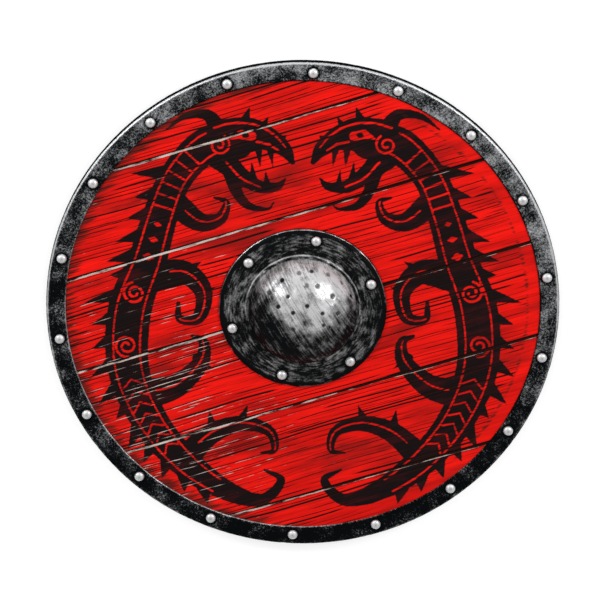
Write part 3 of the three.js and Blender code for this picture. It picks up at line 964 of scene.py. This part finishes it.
GRIP_HAND, GRIP_SHOULDER, GRIP_END = 13.0, 17.0, 12.0  # half widths at the hand, shoulders and ends
GRIP_SHOULDER_AT = 88.0
GRIP_LATH = 12.0  # thickness of the lath, which only the hand's stretch passes
GRIP_STATIONS, GRIP_BACK_COLUMNS, GRIP_TOP_COLUMNS = 139, 41, 22
GRIP_SCREWS = 6
SEAT_REACH, SEAT_STATIONS = 7, 25  # finer mesh this far either side of a screw
SEAT_DEPTH = 1.3
SCREW_HEAD, SCREW_SHANK, SCREW_CLEARANCE = 4.6, 2.0, 0.6
SCREW_SIDES, SCREW_RINGS = 64, 17  # the rings across the head, fine enough for its slot
SLOT_DEPTH, SLOT_HALF = 0.9, 0.75


def grip(material):
    """The bar behind the board: a flat lath, rounded and thickened where the hand holds it."""
    low, high = cad_box("grip")
    half = high[1]
    screws = [plan_middle(f"grip_screw_{k}")[1] for k in range(1, GRIP_SCREWS + 1)]
    close = [at + step for at in screws for step in np.linspace(-SEAT_REACH, SEAT_REACH, SEAT_STATIONS)]
    stations = np.unique(np.round(np.concatenate([np.linspace(-half, half, GRIP_STATIONS), close]), 2))
    far = np.abs(stations)[:, None]
    past_shoulder = (GRIP_END - GRIP_SHOULDER) * (far - GRIP_SHOULDER_AT)
    tapered = GRIP_SHOULDER + past_shoulder / (half - GRIP_SHOULDER_AT)
    waisted = GRIP_HAND + (GRIP_SHOULDER - GRIP_HAND) * (1 - np.cos(np.pi * far / GRIP_SHOULDER_AT)) / 2
    wide = np.where(far > GRIP_SHOULDER_AT, tapered, waisted)
    top = GRIP_LATH + (high[2] - GRIP_LATH) * smooth_step(55, 42, far)
    top -= 0.6 * smooth_step(half - 8, half, far)

    # The section is a squarish oval: its back runs evenly from side to side, its top by angle
    squareness = 0.42 + 0.28 * smooth_step(60, 40, far)
    even = np.linspace(-1, 1, GRIP_BACK_COLUMNS)
    back = 0.6 * even + 0.4 * np.sin(np.pi / 2 * even)
    behind = -((1 - np.abs(back) ** (2 / squareness)) ** 0.25)
    turn = np.linspace(0, np.pi, GRIP_TOP_COLUMNS)[1:-1]
    across = np.sign(np.cos(turn)) * np.abs(np.cos(turn)) ** squareness
    before = np.sin(turn) ** squareness
    x = wide * np.hstack([back + 0 * far, across])
    z = top / 2 * (1 + np.hstack([behind, before]))
    y = stations[:, None] + 0 * x
    seat = SCREW_HEAD + SCREW_CLEARANCE
    for at in screws:  # a sunk seat round each screw
        sunk = SEAT_DEPTH * smooth_step(seat + 0.4, seat, np.hypot(x, y - at))
        z = np.where(z < 3, np.maximum(z, sunk), z)
    points = np.stack([x, y, z], axis=-1)
    rows, sides = x.shape
    faces = tube_faces(rows, sides)
    piece = mesh_object("grip_bar", points, faces, [material])
    dress(piece, "grip_wood", "grip", sharp=60, flip=True)


def screw(name, node, material, turn):
    """A countersunk screw, slotted across its flat head, which faces down."""
    low, high = cad_box(node)
    bottom, tip = low[2], high[2]
    neck = bottom + 0.4 + SCREW_HEAD - SCREW_SHANK
    profile = [(r, bottom) for r in np.linspace(0.2, SCREW_HEAD - 0.2, SCREW_RINGS)]
    profile += [(SCREW_HEAD, bottom + 0.2), (SCREW_HEAD, bottom + 0.4), (SCREW_SHANK, neck)]
    profile += [(SCREW_SHANK, tip - 2), (0.3, tip)]
    points = turned(profile, SCREW_SIDES)
    head = points[:SCREW_RINGS]
    across = head[..., 0] * math.sin(turn) + head[..., 1] * math.cos(turn)
    head[..., 2] += SLOT_DEPTH * smooth_step(SLOT_HALF, SLOT_HALF - 0.3, np.abs(across))
    points[..., :2] += plan_middle(node)
    faces = tube_faces(len(profile), SCREW_SIDES)
    piece = mesh_object(name, points, faces, [material])
    dress(piece, "rivet_steel", node, sharp=40)


# ---- the shield

wood_face = painted_wood()
wood_back = bare_wood("wood_back", *BOARD_WOOD)
for index in range(PLANK_COUNT):
    plank(index, wood_face, wood_back)
rim(rim_iron())
boss(boss_iron())
steel = rivet_steel()
for place, count, seed in (("rim", RIM_RIVETS, RIM_STUD_SEED), ("boss", BOSS_RIVETS, BOSS_STUD_SEED)):
    for k in range(1, count + 1):
        rivet(f"{place}_stud_{k}", f"{place}_rivet_{k}", steel, seed + k)
grip(bare_wood("grip_wood", *GRIP_WOOD, stretch=(1, 16, 1)))
plain_steel = screw_steel()
for k in range(1, GRIP_SCREWS + 1):
    screw(f"grip_fixing_{k}", f"grip_screw_{k}", plain_steel, 1.1 * k)

# ---- studio


LIGHTS = (  # name, azimuth, elevation, metres off, metres wide, watts
    ("key", 144, 34, 2.2, 0.6, 16),
    ("side", 36, 41, 2.2, 0.6, 14),
    ("back", 88, 16, 2.4, 1.6, 9),
)
FLOOR_HALF = 20000
FLOOR_DROP = 0.3
CAMERA_LEAN = math.radians(20.05)  # from the shield's axis, to the top of the picture
CAMERA_AWAY, CAMERA_LENS, CAMERA_AIM = 5.0, 252.6, (-0.0033, 0.0099)


def studio_floor():
    """A pale floor, clear from below so that the back of the shield can be looked at."""
    n = Nodes("floor")
    n.finish((0.55, 0.55, 0.55, 1), 0.9, specular=0.1)
    n.shader.inputs["Emission Color"].default_value = (1, 1, 1, 1)
    n.shader.inputs["Emission Strength"].default_value = 0.6
    facing = n.node("NewGeometry", "Backfacing")
    clear = n.node("BsdfTransparent")
    surface = n.node("MixShader", 0, {0: facing, 1: n.shader.outputs[0], 2: clear})
    n.put(n.tree.nodes["Material Output"].inputs["Surface"], surface)
    turns = ((-1, -1), (1, -1), (1, 1), (-1, 1))
    corners = [(FLOOR_HALF * i, FLOOR_HALF * j, -FLOOR_DROP) for i, j in turns]
    floor = mesh_object("floor", corners, [[0, 1, 2, 3]], [n.material])


def soft_box(name, azimuth, elevation, distance, size, power):
    """A square area light aimed at the shield. Its azimuth is anticlockwise from the picture's right."""
    turn = math.radians(azimuth) - PLANK_TURN
    rise = math.radians(elevation)
    light = bpy.data.lights.new(name, "AREA")
    light.size = size
    light.energy = power
    lamp = bpy.data.objects.new(name, light)
    lamp.location = distance * Vector(
        (math.cos(rise) * math.cos(turn), math.cos(rise) * math.sin(turn), math.sin(rise))
    )
    lamp.rotation_euler = (-lamp.location).to_track_quat("-Z", "Y").to_euler()
    bpy.context.scene.collection.objects.link(lamp)


def studio_sky():
    """White light from all round, strongest overhead."""
    world = bpy.data.worlds.new("studio")
    world.use_nodes = True
    tree = world.node_tree
    kinds = ("TexCoord", "SeparateXYZ", "MapRange")
    place, split, height = (tree.nodes.new("ShaderNode" + kind) for kind in kinds)
    tree.links.new(place.outputs["Generated"], split.inputs[0])
    tree.links.new(split.outputs["Z"], height.inputs["Value"])
    for key, value in (("From Min", 0.1), ("From Max", 0.8), ("To Min", 0.28), ("To Max", 0.75)):
        height.inputs[key].default_value = value
    background = tree.nodes["Background"]
    background.inputs["Color"].default_value = (1, 1, 1, 1)
    tree.links.new(height.outputs[0], background.inputs["Strength"])
    return world


def view_camera():
    """A camera a long way off, leaning from the shield's axis as the photograph's does."""
    data = bpy.data.cameras.new("camera")
    data.lens = CAMERA_LENS
    data.sensor_width = 36
    data.clip_end = 50
    camera = bpy.data.objects.new("camera", data)
    turn = Matrix.Rotation(-PLANK_TURN, 4, "Z") @ Matrix.Rotation(-CAMERA_LEAN, 4, "X")
    place = turn @ Vector((*CAMERA_AIM, CAMERA_AWAY))
    camera.matrix_world = Matrix.Translation(place + Vector((0, 0, RIM_FRONT * MM))) @ turn
    bpy.context.scene.collection.objects.link(camera)
    bpy.context.scene.camera = camera


studio_floor()
for light in LIGHTS:
    soft_box(*light)
bpy.context.scene.world = studio_sky()
bpy.context.scene.view_settings.view_transform = "Standard"
view_camera()
